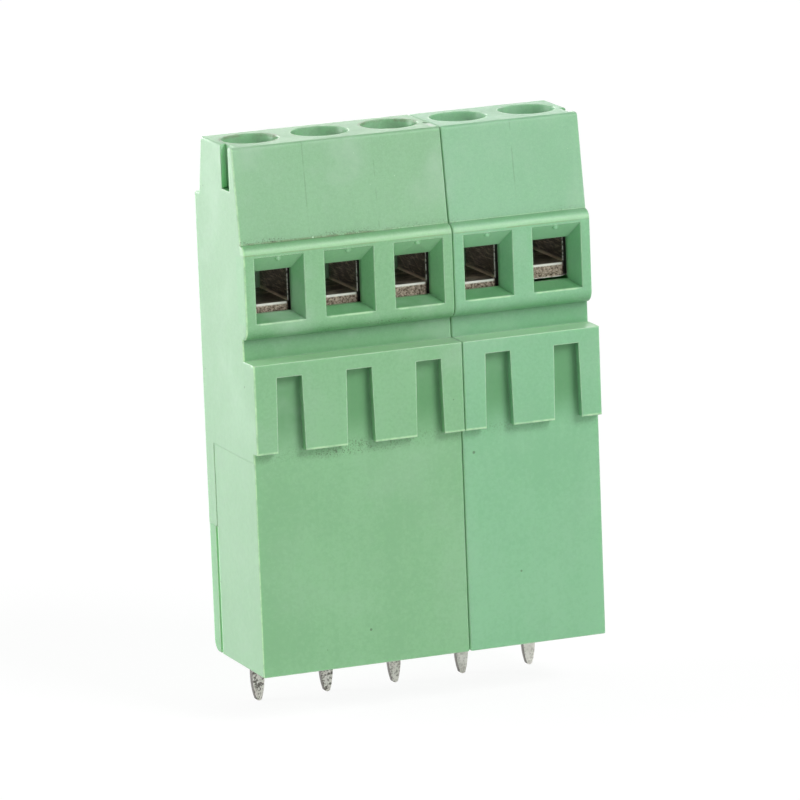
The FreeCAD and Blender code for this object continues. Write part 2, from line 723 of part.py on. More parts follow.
def build_all():
    """Every piece of the terminal block, from the left."""
    pieces = [left_housing(), right_housing()]
    count = int(value("Dims.left_poles + Dims.right_poles"))
    for number in range(1, count + 1):
        pole = f"Places.left_edge + {number - 0.5} * Dims.pitch"
        pieces.append(build_screw(number, pole))
        pieces.append(build_cage(number, pole))
        pieces.append(build_contact(number, pole))
    return pieces


def write_parts(pieces):
    os.makedirs("parts", exist_ok=True)
    for piece in pieces:
        piece.Shape.exportStep(f"parts/{piece.Label}.step")


parts = build_all()
check_document()
write_parts(parts)
for part in parts:
    box = part.Shape.BoundBox
    print(f"{part.Label}: {part.Shape.Volume:.2f} mm3, z {box.ZMin:.2f} to {box.ZMax:.2f}")
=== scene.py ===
import math
import bpy
from mathutils import Matrix, Vector


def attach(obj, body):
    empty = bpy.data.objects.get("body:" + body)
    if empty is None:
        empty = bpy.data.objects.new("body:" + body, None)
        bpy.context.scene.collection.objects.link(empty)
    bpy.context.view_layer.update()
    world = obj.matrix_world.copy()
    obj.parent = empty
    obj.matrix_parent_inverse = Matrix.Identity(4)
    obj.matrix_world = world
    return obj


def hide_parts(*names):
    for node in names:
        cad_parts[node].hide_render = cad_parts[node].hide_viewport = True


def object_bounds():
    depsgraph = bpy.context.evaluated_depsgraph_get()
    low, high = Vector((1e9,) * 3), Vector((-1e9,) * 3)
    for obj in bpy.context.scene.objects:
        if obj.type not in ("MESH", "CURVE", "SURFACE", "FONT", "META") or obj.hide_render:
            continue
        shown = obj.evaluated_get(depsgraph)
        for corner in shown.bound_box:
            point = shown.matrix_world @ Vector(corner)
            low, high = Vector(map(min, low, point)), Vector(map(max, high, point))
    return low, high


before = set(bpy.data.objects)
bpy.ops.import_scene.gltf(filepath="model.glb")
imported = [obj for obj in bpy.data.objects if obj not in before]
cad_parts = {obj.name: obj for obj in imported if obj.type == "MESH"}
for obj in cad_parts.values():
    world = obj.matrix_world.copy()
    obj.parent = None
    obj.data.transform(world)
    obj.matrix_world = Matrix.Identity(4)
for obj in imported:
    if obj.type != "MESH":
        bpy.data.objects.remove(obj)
cad_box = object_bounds()

MM = 0.001

# Places on the housings: x across, y negative to the front, z up

POLES = [(number - 3) * 5.08 * MM for number in range(1, 6)]
POLE_BORDERS = (-7.62 * MM, -2.54 * MM, 7.62 * MM)
SEAM = 2.54 * MM
LEFT_END = -12.7 * MM
TIPS = cad_box[0][2]
SIDE_SLOT_TOP = 9.1 * MM
COMB_FOOT = 15.66 * MM
LEDGE = 21.86 * MM
BAND_FOOT = 23.3 * MM
FUNNEL_FOOT = 24.4 * MM
FUNNEL_TOP = 29.1 * MM
BAND_CREASE = 29.24 * MM
SLOPE_FOOT = 29.88 * MM
BORE_FOOT = 33.0 * MM
BORE_RADIUS = 2.0 * MM

# Screws and cages

LIFTS = [0.19 * MM, 0.27 * MM, 0.43 * MM, 0.10 * MM, 0.72 * MM]
SCREW_AXIS = -3.1 * MM
SCREW_TIP = 28.43 * MM
TIP_BEVEL = 0.35 * MM
HEAD_FOOT = 32.8 * MM
HEAD_TOP = 34.3 * MM
HEAD_RADIUS = 1.9 * MM
HEAD_BEVEL = 0.2 * MM
SLOT_WIDTH = 0.8 * MM
SLOT_DEPTH = 0.9 * MM
THREAD_PITCH = 0.45 * MM
THREAD_DEPTH = 0.22 * MM
THREAD_ROWS = 84
SHANK_RADIUS = 1.2 * MM
SCREW_SIDES = 36

# Small bevels on the pieces' edges

WELD_REACH = MM / 1000
HOUSING_BEVEL = 0.07 * MM
METAL_BEVEL = 0.05 * MM
BEVEL_SEGMENTS = 2

# Camera and studio

CAMERA_ANGLES = (-21.2114, 11.9595, -2.2308)
CAMERA_PLACE = (-0.188215, -0.488188, 0.127268)
CAMERA_LENS = 347.2237
CAMERA_SENSOR = 36
MIDDLE = (0, 0, 0.018)
WORLD_STRENGTH = 0.22
FLOOR_REACH = 3.0
FLOOR_WHITE = 0.92
FLOOR_GLOW = 1.06
FLOOR_SHARE = 0.85
LAMPS = {
    "key": {"place": (0.32, -0.56, 0.52), "size": (0.34, 0.34), "power": 3.75},
    "front": {"place": (-0.10, -0.90, 0.06), "size": (0.9, 0.12), "power": 1.35},
    "side": {"place": (-0.75, 0.35, 0.30), "size": (0.40, 0.40), "power": 4.2},
    "back": {"place": (0.10, 0.90, 0.20), "size": (0.9, 0.40), "power": 2.6},
    "sheen": {"place": (-0.42, 0.95, 0.08), "size": (0.5, 0.20), "power": 6.8},
}


# Camera, at the photograph's place

def aim_camera():
    azimuth, elevation, roll = (math.radians(angle) for angle in CAMERA_ANGLES)
    level = math.cos(elevation)
    back = Vector((math.sin(azimuth) * level, -math.cos(azimuth) * level, math.sin(elevation)))
    right = Vector((0, 0, 1)).cross(back).normalized()
    up = back.cross(right)
    turned = right * math.cos(roll) + up * math.sin(roll)
    upward = up * math.cos(roll) - right * math.sin(roll)
    data = bpy.data.cameras.new("camera")
    data.sensor_width = CAMERA_SENSOR
    data.lens = CAMERA_LENS
    data.clip_start = 0.01
    data.clip_end = 20
    camera = bpy.data.objects.new("camera", data)
    bpy.context.scene.collection.objects.link(camera)
    rows = zip(turned, upward, back, CAMERA_PLACE)
    camera.matrix_world = Matrix((*rows, (0, 0, 0, 1)))
    bpy.context.scene.camera = camera


# Light

def add_lamp(name, place, size, power):
    """A white rectangle of light, aimed at the part's middle."""
    data = bpy.data.lights.new(name, "AREA")
    data.shape = "RECTANGLE"
    data.size, data.size_y = size
    data.energy = power
    lamp = bpy.data.objects.new(name, data)
    lamp.location = place
    lamp.rotation_mode = "QUATERNION"
    lamp.rotation_quaternion = (Vector(MIDDLE) - Vector(place)).to_track_quat("-Z", "Y")
    bpy.context.scene.collection.objects.link(lamp)


def seen_directly(tree, share):
    """The share where camera, mirror and glass rays look, and 0 for all other light."""
    path = tree.nodes.new("ShaderNodeLightPath")
    seen = path.outputs["Is Camera Ray"]
    for ray in ("Is Glossy Ray", "Is Transmission Ray"):
        either = tree.nodes.new("ShaderNodeMath")
        either.operation = "MAXIMUM"
        tree.links.new(seen, either.inputs[0])
        tree.links.new(path.outputs[ray], either.inputs[1])
        seen = either.outputs[0]
    scaled = tree.nodes.new("ShaderNodeMath")
    scaled.operation = "MULTIPLY"
    scaled.inputs[1].default_value = share
    tree.links.new(seen, scaled.inputs[0])
    return scaled.outputs[0]


def mix_by_ray(tree, output, share, lighting, visible):
    """One shader lights the part, the other is what the eye sees."""
    tree.nodes.clear()
    out = tree.nodes.new(output)
    mix = tree.nodes.new("ShaderNodeMixShader")
    tree.links.new(seen_directly(tree, share), mix.inputs[0])
    for place, (kind, grey, strength) in enumerate((lighting, visible), start=1):
        shader = tree.nodes.new(kind)
        shader.inputs["Color"].default_value = (grey, grey, grey, 1)
        if strength is not None:
            shader.inputs["Strength"].default_value = strength
        tree.links.new(shader.outputs[0], mix.inputs[place])
    tree.links.new(mix.outputs[0], out.inputs[0])


def light_scene():
    world = bpy.data.worlds.new("studio")
    bpy.context.scene.world = world
    world.use_nodes = True
    dim = ("ShaderNodeBackground", 1, WORLD_STRENGTH)
    white = ("ShaderNodeBackground", 1, 1.0)
    mix_by_ray(world.node_tree, "ShaderNodeOutputWorld", 1.0, dim, white)
    for name, lamp in LAMPS.items():
        add_lamp(name, **lamp)


def lay_floor():
    mesh = bpy.data.meshes.new("floor")
    far = FLOOR_REACH
    corners = [(-far, -far, TIPS), (far, -far, TIPS), (far, far, TIPS), (-far, far, TIPS)]
    mesh.from_pydata(corners, [], [(0, 1, 2, 3)])
    floor = bpy.data.objects.new("floor", mesh)
    bpy.context.scene.collection.objects.link(floor)
    material = bpy.data.materials.new("floor")
    material.use_nodes = True
    matt = ("ShaderNodeBsdfDiffuse", FLOOR_WHITE, None)
    glow = ("ShaderNodeEmission", 1, FLOOR_GLOW)
    mix_by_ray(material.node_tree, "ShaderNodeOutputMaterial", FLOOR_SHARE, matt, glow)
    mesh.materials.append(material)


# Materials

class Nodes:
    """A short way to write one material's nodes. Masks are 1 where they apply and 0 elsewhere."""

    def __init__(self, name):
        self.material = bpy.data.materials.new(name)
        self.material.use_nodes = True
        self.tree = self.material.node_tree
        self.tree.nodes.clear()
        out = self.tree.nodes.new("ShaderNodeOutputMaterial")
        self.shader = self.tree.nodes.new("ShaderNodeBsdfPrincipled")
        self.link(self.shader.outputs[0], out.inputs[0])
        coordinates = self.tree.nodes.new("ShaderNodeTexCoord")
        self.place = coordinates.outputs["Object"]
        self.share = coordinates.outputs["Generated"]
        self.normal = self.tree.nodes.new("ShaderNodeNewGeometry").outputs["Normal"]
        self.x, self.y, self.z = self.split(self.place)
        self.facing_x, self.facing_y, self.facing_z = self.split(self.normal)
        self.tone = None

    def link(self, source, target):
        self.tree.links.new(source, target)

    def put(self, socket, given):
        """Link a socket, or set its value."""
        if isinstance(given, bpy.types.NodeSocket):
            self.link(given, socket)
        elif isinstance(given, tuple) and len(given) == 3 and len(socket.default_value) == 4:
            socket.default_value = (*given, 1)
        else:
            socket.default_value = given

    def shade(self, name, given):
        """Give one input of the material's shader its value."""
        self.put(self.shader.inputs[name], given)

    def math(self, operation, first, second=0.0, third=None):
        node = self.tree.nodes.new("ShaderNodeMath")
        node.operation = operation
        self.put(node.inputs[0], first)
        self.put(node.inputs[1], second)
        if third is not None:
            self.put(node.inputs[2], third)
        return node.outputs[0]

    def scaled(self, value, factor, plus):
        """The value times the factor, and something added."""
        return self.math("MULTIPLY_ADD", value, factor, plus)

    def mix(self, factor, first, second):
        node = self.tree.nodes.new("ShaderNodeMix")
        node.data_type = "RGBA"
        self.put(node.inputs[0], factor)
        self.put(node.inputs[6], first)
        self.put(node.inputs[7], second)
        return node.outputs[2]

    def tint(self, colour, *masks):
        """Blend a colour into the tone where all the masks apply. A number among them weakens it."""
        self.tone = self.mix(self.times(*masks), self.tone, colour)

    def ramp(self, value, low, high, to_low=0.0, to_high=1.0, smooth=True):
        node = self.tree.nodes.new("ShaderNodeMapRange")
        node.interpolation_type = "SMOOTHSTEP" if smooth else "LINEAR"
        self.put(node.inputs["Value"], value)
        self.put(node.inputs["From Min"], low)
        self.put(node.inputs["From Max"], high)
        self.put(node.inputs["To Min"], to_low)
        self.put(node.inputs["To Max"], to_high)
        return node.outputs["Result"]

    def stretch(self, scale, shift=(0, 0, 0)):
        node = self.tree.nodes.new("ShaderNodeMapping")
        self.put(node.inputs["Vector"], self.place)
        node.inputs["Scale"].default_value = scale
        node.inputs["Location"].default_value = shift
        return node.outputs[0]

    def noise(self, scale, detail, rough, where=None):
        node = self.tree.nodes.new("ShaderNodeTexNoise")
        self.put(node.inputs["Vector"], where or self.place)
        node.inputs["Scale"].default_value = scale
        node.inputs["Detail"].default_value = detail
        node.inputs["Roughness"].default_value = rough
        return node.outputs["Fac"]

    def patches(self, scale, detail, rough, low, high, to_low=0.0, to_high=1.0):
        """Noise sharpened to a mask between two of its levels."""
        return self.ramp(self.noise(scale, detail, rough), low, high, to_low, to_high)

    def split(self, vector):
        node = self.tree.nodes.new("ShaderNodeSeparateXYZ")
        self.put(node.inputs[0], vector)
        return node.outputs

    def soft_edges(self, radius):
        """The surface's direction with its edges rounded in the shading."""
        node = self.tree.nodes.new("ShaderNodeBevel")
        node.samples = 6
        node.inputs["Radius"].default_value = radius
        return node.outputs[0]

    def bump(self, height, distance, strength, normal):
        node = self.tree.nodes.new("ShaderNodeBump")
        node.inputs["Strength"].default_value = strength
        node.inputs["Distance"].default_value = distance
        self.put(node.inputs["Height"], height)
        self.put(node.inputs["Normal"], normal)
        return node.outputs[0]

    def openness(self, reach):
        """1 on open faces, lower in corners that are closed in within the reach."""
        node = self.tree.nodes.new("ShaderNodeAmbientOcclusion")
        node.samples = 4
        node.only_local = True
        node.inputs["Distance"].default_value = reach
        return node.outputs["AO"]

    def edge_mask(self, rounded):
        """How far the rounded direction turns from the flat one: 1 along edges."""
        dot = self.tree.nodes.new("ShaderNodeVectorMath")
        dot.operation = "DOT_PRODUCT"
        self.put(dot.inputs[0], rounded)
        self.put(dot.inputs[1], self.normal)
        return self.ramp(dot.outputs["Value"], 0.995, 0.86)

    def times(self, *masks):
        product = masks[0]
        for mask in masks[1:]:
            product = self.math("MULTIPLY", product, mask)
        return product

    def largest(self, masks):
        found = masks[0]
        for mask in masks[1:]:
            found = self.math("MAXIMUM", found, mask)
        return found

    def near(self, value, place, reach):
        """1 at the place, falling to 0 at the reach on both sides."""
        away = self.math("ABSOLUTE", self.math("SUBTRACT", value, place))
        return self.ramp(away, reach, reach * 0.2)

    def near_any(self, value, places, reach):
        return self.largest([self.near(value, place, reach) for place in places])

    def above(self, value, place, soft=0.05 * MM):
        return self.ramp(value, place - soft, place + soft)

    def below(self, value, place, soft=0.05 * MM):
        return self.ramp(value, place + soft, place - soft)

    def dots(self, scale, radius, share, shift=(0, 0, 0)):
        """Small round specks: a share of the cells of a loose grid hold one."""
        cells = self.tree.nodes.new("ShaderNodeTexVoronoi")
        cells.inputs["Scale"].default_value = scale
        self.put(cells.inputs["Vector"], self.stretch((1, 1, 1), shift))
        chance, part, _ = self.split(cells.outputs["Color"])
        size = self.math("MULTIPLY", part, radius * scale)
        close = self.math("LESS_THAN", cells.outputs["Distance"], size)
        return self.times(close, self.math("LESS_THAN", chance, share))


def from_axis(n, pole):
    """The distance from a pole's screw axis."""
    across = n.math("POWER", n.math("SUBTRACT", n.x, pole), 2.0)
    along = n.math("POWER", n.math("SUBTRACT", n.y, SCREW_AXIS), 2.0)
    return n.math("SQRT", n.math("ADD", across, along))


# The green plastic, one kind of mark at a time

def flow_marks(n, colour, deep):
    """Clouds, upright streaks and mottling from the moulding."""
    clouds = n.noise(110, 3, 0.55)
    streaks = n.noise(1, 3, 0.6, n.stretch((620, 620, 60)))
    mottle = n.noise(3600, 3, 0.7)
    flow = n.scaled(streaks, 0.20, n.math("MULTIPLY", mottle, 0.45))
    flow = n.scaled(clouds, 0.35, flow)
    n.tone = n.mix(n.ramp(flow, 0.40, 0.60), deep, colour)


def corner_shade_and_edge_highlights(n, rounded, ragged):
    """Painted shade in closed corners, and painted highlights on the outer edges, brightest on the
    lower ones.
    """
    open_air = n.openness(1.1 * MM)
    # painted shade where the corners close in
    n.tint((0.065, 0.24, 0.09), n.ramp(open_air, 0.75, 0.15))
    # painted highlights on the outer edges, stronger where the edges face down
    outer = n.times(n.edge_mask(rounded), n.ramp(open_air, 0.7, 0.9))
    n.tint((0.56, 0.82, 0.55), outer, n.scaled(ragged, 0.40, 0.50))
    turned_down = n.below(n.facing_z, -0.15, 0.1)
    n.tint((0.85, 1.0, 0.80), outer, turned_down, n.scaled(ragged, 0.4, 0.6))


def witness_lines(n, front):
    """Broken fine lines between the poles and along the band's crease. Returns their mask."""
    band_depth = -7.2 * MM
    lines = n.near_any(n.x, POLE_BORDERS, 0.06 * MM)
    lines = n.times(lines, front, n.above(n.z, SLOPE_FOOT), n.patches(500, 3, 0.6, 0.42, 0.58))
    crease = n.times(n.near(n.z, BAND_CREASE, 0.07 * MM), front, n.below(n.y, band_depth))
    crease = n.times(crease, n.patches(420, 3, 0.6, 0.35, 0.6))
    n.tint((0.10, 0.22, 0.10), lines, 0.35)
    n.tint((0.22, 0.30, 0.12), crease, 0.55)
    return n.math("ADD", lines, crease)


def band_painted_light_and_shade(n):
    """Painted light and shade on the ledge above the comb and on the strip between the band's crease
    and the slope.
    """
    band_depth = -7.1 * MM
    turned_up = n.above(n.facing_z, 0.7, 0.2)
    ledge = n.times(turned_up, n.near(n.z, LEDGE, 0.2 * MM))
    strip = n.times(n.above(n.z, BAND_CREASE + 0.02 * MM), n.below(n.z, SLOPE_FOOT + 0.06 * MM))
    strip = n.times(strip, n.below(n.y, band_depth))
    # painted shade where the rounded strip faces up
    n.tint((0.17, 0.40, 0.19), strip, turned_up, 0.55)
    # painted light on the ledge and on the parts of the strip that turn away from the top
    strip = n.times(strip, n.ramp(n.facing_z, 0.7, 0.3, 0.0, 0.45))
    n.tint((0.50, 0.80, 0.48), n.largest([n.times(ledge, 0.5), strip]))


def funnel_painted_light_and_shade(n):
    """Painted light and shade on the funnels' upright, lower and upper faces, and painted shade under
    the band.
    """
    mouth, throat = -7.72 * MM, -6.3 * MM
    band_depth = -7.2 * MM
    shade_top = 24.5 * MM
    funnel = n.times(n.above(n.y, mouth), n.below(n.y, throat))
    funnel = n.times(funnel, n.above(n.z, FUNNEL_FOOT), n.below(n.z, FUNNEL_TOP))
    # painted light and shade, by which way each funnel face turns
    n.tint((0.16, 0.55, 0.22), funnel, n.above(n.facing_z, -0.3, 0.1), 0.30)
    n.tint((0.11, 0.31, 0.13), funnel, n.above(n.facing_z, 0.3, 0.1), 0.75)
    n.tint((0.36, 0.72, 0.40), funnel, n.below(n.facing_z, -0.3, 0.1), 0.3)
    # painted shade under the band
    under = n.times(n.ramp(n.z, shade_top, BAND_FOOT), n.below(n.y, band_depth))
    n.tint((0.10, 0.30, 0.13), under, n.above(n.z, BAND_FOOT - 0.1 * MM), 0.55)


def seam_and_end_painted_light(n):
    """Painted light beside the seam, a painted sheen on the left end face, painted light on the wall
    of the slot low in that face, and a darker, greener heel behind it.
    """
    end_skin = LEFT_END + 0.4 * MM
    slot_skin = LEFT_END + 0.06 * MM
    slot_depth = LEFT_END + 0.5 * MM
    slot_front, heel_front = 0.1 * MM, 0.34 * MM
    turned_left = n.below(n.facing_x, -0.6, 0.2)
    low = n.below(n.z, SIDE_SLOT_TOP)
    # painted light beside the seam, lifting the shade on its rounded edges
    n.tint((0.36, 0.64, 0.38), n.near(n.x, SEAM, 0.16 * MM), 0.5)
    # painted sheen on the left end face
    n.tint((0.31, 0.44, 0.33), turned_left, n.below(n.x, end_skin), 0.35)
    # painted light on the slot's wall
    slot = n.times(low, n.above(n.x, slot_skin), n.below(n.x, slot_depth))
    n.tint((0.42, 0.85, 0.45), slot, n.near(n.y, slot_front, 0.35 * MM))
    n.tint((0.16, 0.42, 0.19), n.above(n.y, heel_front), low, turned_left, 0.6)


def recess_painted_shade(n, front):
    """Painted shade on the set-back face between the ledge and the band, darker to the top."""
    recess_top, band_depth = 24.0 * MM, -7.3 * MM
    recess = n.times(n.above(n.z, LEDGE + 0.1 * MM), n.below(n.z, recess_top))
    recess = n.times(recess, n.above(n.y, band_depth))
    # painted shade under the band's overhang
    n.tint((0.10, 0.27, 0.14), recess, n.ramp(n.z, LEDGE, BAND_FOOT, 0.2, 0.6), front)


def gap_painted_shade(n, front):
    """Painted shade on the floors of the comb's gaps, deeper on their right where the teeth cast it.
    """
    floor_depth, floors_top = -8.2 * MM, 21.0 * MM
    fade_low, fade_high = 14.8 * MM, 18.0 * MM
    floors = n.times(n.near(n.y, floor_depth, 0.12 * MM), front, n.below(n.z, floors_top))
    floors = n.times(floors, n.ramp(n.z, fade_low, fade_high))
    # painted shade on the gap floors
    n.tint((0.085, 0.28, 0.10), n.near_any(n.x, POLES, 1.5 * MM), floors, 0.75)
    right_sides = [pole + 1.05 * MM for pole in POLES]
    # deeper painted shadow beside each gap's right wall
    n.tint((0.04, 0.18, 0.06), n.near_any(n.x, right_sides, 0.75 * MM), floors, 0.6)


def painted_edge_lines(n, ragged):
    """Painted highlights along the edges under the comb, on the funnels' sills and on the left front
    corner.
    """
    teeth_depth, band_depth = -8.75 * MM, -7.7 * MM
    sill_level = FUNNEL_FOOT + 0.05 * MM
    comb_foot_line = n.times(n.near(n.z, COMB_FOOT + 0.07 * MM, 0.11 * MM), n.below(n.y, teeth_depth))
    mouths = n.above(n.near_any(n.x, POLES, 2.0 * MM), 0.2, 0.1)
    sills = n.times(n.near(n.z, sill_level, 0.10 * MM), n.below(n.y, band_depth), mouths)
    corner = n.below(n.x, LEFT_END + 0.1 * MM, 0.03 * MM)
    corner = n.times(corner, n.below(n.facing_y, -0.3, 0.1))
    pale = n.largest([n.times(comb_foot_line, 0.8), n.times(sills, 0.7), corner])
    # painted highlights, broken by the ragged mask
    n.tint((0.56, 0.84, 0.50), pale, n.scaled(ragged, 0.5, 0.4))


def dirt_in_corners(n, front):
    """A dark line at the slope's foot, and grime in the inner corners, more of it to the left."""
    line_depth, comb_depth = -7.0 * MM, -8.3 * MM
    line = n.times(n.near(n.z, SLOPE_FOOT + 0.03 * MM, 0.09 * MM), n.below(n.y, line_depth))
    to_the_left = n.ramp(n.x, 1.0 * MM, -6.0 * MM, 0.1, 0.6)
    n.tint((0.13, 0.14, 0.05), line, to_the_left, n.patches(700, 3, 0.7, 0.38, 0.55))
    foot = n.near(n.z, SLOPE_FOOT + 0.12 * MM, 0.35 * MM)
    sill = n.near(n.z, BAND_FOOT + 0.25 * MM, 0.45 * MM)
    comb = n.times(n.near(n.z, COMB_FOOT - 0.25 * MM, 0.8 * MM), n.above(n.y, comb_depth))
    grime = n.patches(9000, 3, 0.7, 0.53, 0.60)
    corners = n.times(n.largest([foot, sill, comb]), grime, front)
    corners = n.times(corners, n.scaled(n.patches(260, 2, 0.5, 0.45, 0.65), 0.75, 0.25))
    n.tint((0.06, 0.10, 0.045), corners, n.ramp(n.x, 3.5 * MM, -3.0 * MM, 0.3, 0.9))


def top_dirt_and_painted_light(n, front):
    """Two dirty rims, painted light on the screw holes' walls and on the left groove's rear wall, and
    a worn patch. Returns the holes.
    """
    rim_foot = 36.2 * MM
    groove_foot, groove_depth, groove_skin = 33.4 * MM, -4.2 * MM, LEFT_END + 0.55 * MM
    patch_across, patch_along = 2.3 * MM, -4.8 * MM
    reaches = [from_axis(n, pole) for pole in POLES]
    dirty = [n.near(reach, BORE_RADIUS + 0.04 * MM, 0.16 * MM) for reach in (reaches[0], reaches[2])]
    rims = n.times(n.largest(dirty), n.above(n.z, rim_foot), n.patches(900, 3, 0.6, 0.38, 0.56))
    n.tint((0.16, 0.12, 0.06), rims, 0.55)
    bores = n.largest([n.below(reach, BORE_RADIUS + 0.02 * MM) for reach in reaches])
    bores = n.times(bores, n.above(n.z, BORE_FOOT))
    # painted light in patches on the bores' walls
    n.tint((0.30, 0.66, 0.36), bores, n.patches(1300, 3, 0.7, 0.42, 0.60, 0.1, 0.6))
    groove = n.times(n.above(n.z, groove_foot), n.near(n.y, groove_depth, 0.8 * MM))
    # painted light on the groove's rear wall
    n.tint((0.36, 0.85, 0.42), groove, n.below(n.x, groove_skin), front)
    patch = n.times(n.above(n.facing_z, 0.8, 0.1), n.near(n.x, patch_across, 0.3 * MM))
    n.tint((0.75, 0.80, 0.72), patch, n.near(n.y, patch_along, 0.9 * MM), 0.6)
    return bores


def specks_grain_and_painted_glints(n):
    """Loose dark and pale specks and, on the upper half, a fine dark grain with fine painted glints.
    Returns the dark specks.
    """
    pale_from, grain_from = 22.0 * MM, 22.5 * MM
    dark = n.dots(620, 0.11 * MM, 0.16)
    pale = n.times(n.dots(1100, 0.08 * MM, 0.25, (0.013, 0.007, 0.003)), n.above(n.z, pale_from))
    n.tint((0.07, 0.13, 0.06), dark, 0.65)
    n.tint((0.62, 0.84, 0.62), pale, 0.75)
    upper = n.above(n.z, grain_from)
    n.tint((0.11, 0.26, 0.12), n.patches(12000, 2, 0.6, 0.44, 0.60), upper, 0.09)
    # fine painted glints
    n.tint((0.55, 0.80, 0.55), n.patches(9500, 2, 0.6, 0.54, 0.66), upper, 0.06)
    return dark


def dust_and_slope_light(n, front, dust):
    """Cloudy dust, thicker to the top, and a pale layer on the front slope that is partly dust and
    partly painted light from above. Returns its mask.
    """
    haze_and_slope_light = n.times(n.patches(150, 4, 0.6, 0.48, 0.72), dust)
    haze_and_slope_light = n.times(haze_and_slope_light, n.ramp(n.z, 14.0 * MM, 24.0 * MM, 0.3, 1.0))
    # partly dust, partly painted light from above on the front slope
    slope_light_film = n.times(n.above(n.z, SLOPE_FOOT + 0.1 * MM), front, 0.16)
    haze_and_slope_light = n.math("ADD", haze_and_slope_light, slope_light_film)
    n.tint((0.42, 0.60, 0.45), haze_and_slope_light)
    return haze_and_slope_light


def plastic_surface(n, rounded, haze_and_slope_light, bores, sunk):
    """A half-matt skin: duller under the dust and on the front slope, glossier and wavy in the bores,
    low where it is marked.
    """
    rough = n.ramp(n.noise(2500, 2, 0.5), 0.3, 0.7, 0.40, 0.50, smooth=False)
    rough = n.scaled(haze_and_slope_light, 0.3, rough)
    n.shade("Roughness", n.scaled(bores, -0.2, rough))
    waves = n.math("ADD", n.noise(260, 2, 0.5), n.times(n.noise(1600, 3, 0.6), bores, 3.0))
    height = n.scaled(n.noise(9000, 2, 0.6), 0.25, n.math("MULTIPLY", waves, 0.75))
    height = n.math("SUBTRACT", height, sunk)
    n.shade("Normal", n.bump(height, 0.03 * MM, 0.35, rounded))
    n.shade("IOR", 1.53)
    n.shade("Subsurface Weight", 0.25)
    n.shade("Subsurface Radius", (0.5, 1.0, 0.45))
    n.shade("Subsurface Scale", 1.2 * MM)


def green_plastic(name, colour, deep, dust):
    """Moulded polyamide with flow marks, fine lines, dirt in corners and specks, and with painted
    shade in corners, recesses and gaps and painted light on edges, faces, bores and the groove.
    """
    n = Nodes(name)
    rounded = n.soft_edges(0.14 * MM)
    ragged = n.patches(1500, 2, 0.6, 0.35, 0.6)
    front = n.below(n.facing_y, -0.5, 0.2)
    flow_marks(n, colour, deep)
    corner_shade_and_edge_highlights(n, rounded, ragged)
    lines = witness_lines(n, front)
    band_painted_light_and_shade(n)
    funnel_painted_light_and_shade(n)
    seam_and_end_painted_light(n)
    recess_painted_shade(n, front)
    gap_painted_shade(n, front)
    painted_edge_lines(n, ragged)
    dirt_in_corners(n, front)
    bores = top_dirt_and_painted_light(n, front)
    specks = specks_grain_and_painted_glints(n)
    haze_and_slope_light = dust_and_slope_light(n, front, dust)
    n.shade("Base Color", n.tone)
    plastic_surface(n, rounded, haze_and_slope_light, bores, n.math("ADD", lines, specks))
    return n.material


# The metals

def zinc_plating():
    """Plated steel with fine tool marks and duller patches."""
    n = Nodes("zinc")
    marks = n.noise(5000, 4, 0.65)
    n.tone = n.mix(n.patches(700, 3, 0.6, 0.35, 0.7), (0.5, 0.5, 0.49), (0.66, 0.66, 0.64))
    n.tint((0.12, 0.1, 0.08), n.ramp(marks, 0.6, 0.8, 0.0, 0.5))
    n.shade("Base Color", n.tone)
    n.shade("Metallic", 1.0)
    n.shade("Roughness", n.ramp(marks, 0.3, 0.7, 0.27, 0.47))
    n.shade("Normal", n.bump(marks, 0.01 * MM, 0.6, n.soft_edges(0.03 * MM)))
    return n.material


def cage_inside(n, across, up, lip_depth):
    """Brushed brown walls with slanted pale scores and a painted highlight along the bend in the lower
    right corner.
    """
    highlight_across, highlight_up = 0.836, 0.178
    brushed = n.noise(1, 4, 0.7, n.stretch((500, 900, 9000)))
    n.tone = n.mix(n.ramp(brushed, 0.45, 0.72), (0.16, 0.13, 0.10), (0.60, 0.50, 0.40))
    slanted = n.scaled(n.y, -0.6, n.z)
    scores = n.ramp(n.noise(5200, 4, 0.75, slanted), 0.54, 0.66)
    scores = n.times(scores, n.below(n.facing_x, -0.6, 0.2), n.patches(900, 2, 0.6, 0.40, 0.60))
    n.tint((1.0, 0.82, 0.62), scores, 0.8)
    # painted highlight along the inner corner of wall and floor
    corner_highlight = n.times(n.near(across, highlight_across, 0.022), n.near(up, highlight_up, 0.03))
    n.tint((1.0, 0.85, 0.68), corner_highlight, n.above(n.y, lip_depth))
    return brushed


def cage_painted_highlights(n, across, up, lip):
    """Painted highlights on the lip's side edges, its upper rim and its foot."""
    left_jaw, right_jaw, jaw_foot = 0.152, 0.848, 0.17
    rim_level, rim_left, rim_right, foot_top = 0.160, 0.2, 0.8, 0.012
    arris_depth, rim_depth = -5.68 * MM, -5.9 * MM
    broken = n.patches(4200, 2, 0.7, 0.38, 0.52)
    jaws = n.near_any(across, (left_jaw, right_jaw), 0.016)
    arris = n.times(jaws, n.above(up, jaw_foot, 0.01), n.below(n.y, arris_depth))
    rim = n.times(n.near(up, rim_level, 0.028), n.below(n.y, rim_depth))
    rim = n.times(rim, n.above(across, rim_left, 0.01), n.below(across, rim_right, 0.02))
    foot = n.times(n.below(up, foot_top, 0.006), lip, 0.8)
    return n.largest([n.times(n.largest([arris, foot]), broken), rim])


